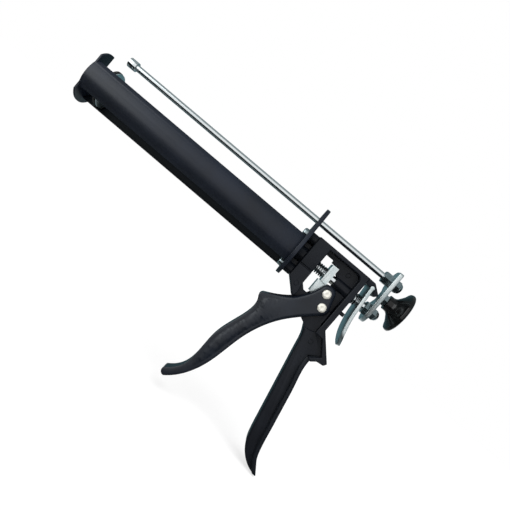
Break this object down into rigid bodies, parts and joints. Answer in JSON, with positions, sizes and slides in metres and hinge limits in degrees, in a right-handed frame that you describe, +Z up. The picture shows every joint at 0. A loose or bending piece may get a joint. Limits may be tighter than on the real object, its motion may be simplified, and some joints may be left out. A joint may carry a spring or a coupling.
{
  "type": "caulking gun",
  "caption": "Hand-squeezed caulking gun for two-part cartridges: open cradle, cast body with trigger and handle, and twin push rods tied by a cross plate with a pull knob.",
  "frame": {"origin": "on the main rod's axis, at the front face of the rear plate, where the cartridge's back end seats", "axes": "+X along the barrel towards the knob, so the nozzle end is at -X; -Y the side with the curved strip; +Z up, handle down"},
  "size_m": [0.3501, 0.0532, 0.2228],
  "materials": {
    "black_powder_coat": "satin",
    "black_die_cast": "satin",
    "plated_rod": "polished",
    "zinc_plate": "satin",
    "zinc_fastener": "satin",
    "bright_rivet": "polished",
    "spring_steel": "satin",
    "black_rubber": "matte",
    "black_gloss_plastic": "gloss"
  },
  "bodies": {
    "frame": {"cradle_shell": "black_powder_coat", "lower_rail": "black_powder_coat", "rear_plate": "black_powder_coat", "plate_screws": "zinc_fastener", "plate_washers": "zinc_fastener", "gun_body": "black_die_cast", "drive_spring": "spring_steel", "release_spring": "spring_steel"},
    "trigger_lever": {"trigger": "black_die_cast", "trigger_pivot_pin": "bright_rivet", "drive_pin": "bright_rivet"},
    "driver": {"driver_bracket": "zinc_plate", "grip_plates": "zinc_plate"},
    "release": {"release_lever": "zinc_plate"},
    "rod_set": {"main_rod": "plated_rod", "plunger_disc": "zinc_plate", "plunger_wiper": "black_rubber", "plunger_nut": "zinc_fastener", "second_rod": "plated_rod", "second_rod_tip": "plated_rod", "cross_plate": "zinc_plate", "second_rod_front_nut": "zinc_fastener", "second_rod_dome_nut": "zinc_fastener", "main_rod_front_nut": "zinc_fastener", "main_rod_rear_nut": "zinc_fastener", "knob": "black_gloss_plastic", "knob_stud": "zinc_fastener", "knob_nut": "zinc_fastener"}
  },
  "joints": [
    {"name": "trigger_pull", "type": "hinge", "parent": "frame", "child": "trigger_lever", "pos_m": [0.0517, 0, -0.0249], "axis": [0, -1, 0], "range_deg": [0, 28], "stiffness_Nm_per_rad": 0.6, "springref_deg": -20.05},
    {"name": "driver_slide", "type": "slide", "parent": "frame", "child": "driver", "axis": [-1, 0, 0], "range_m": [0, 0.0058], "deforming": ["drive_spring"]},
    {"name": "release_press", "type": "hinge", "parent": "frame", "child": "release", "pos_m": [0.0734, 0, 0.0163], "axis": [0, 1, 0], "range_deg": [0, 5], "stiffness_Nm_per_rad": 0.4, "springref_deg": -11.46, "deforming": ["release_spring"]},
    {"name": "rod_slide", "type": "slide", "parent": "frame", "child": "rod_set", "axis": [1, 0, 0], "range_m": [0, 0.2]}
  ],
  "couplings": [
    {"joint": "driver_slide", "follows": "trigger_pull", "m_per_rad": 0.0117}
  ]
}
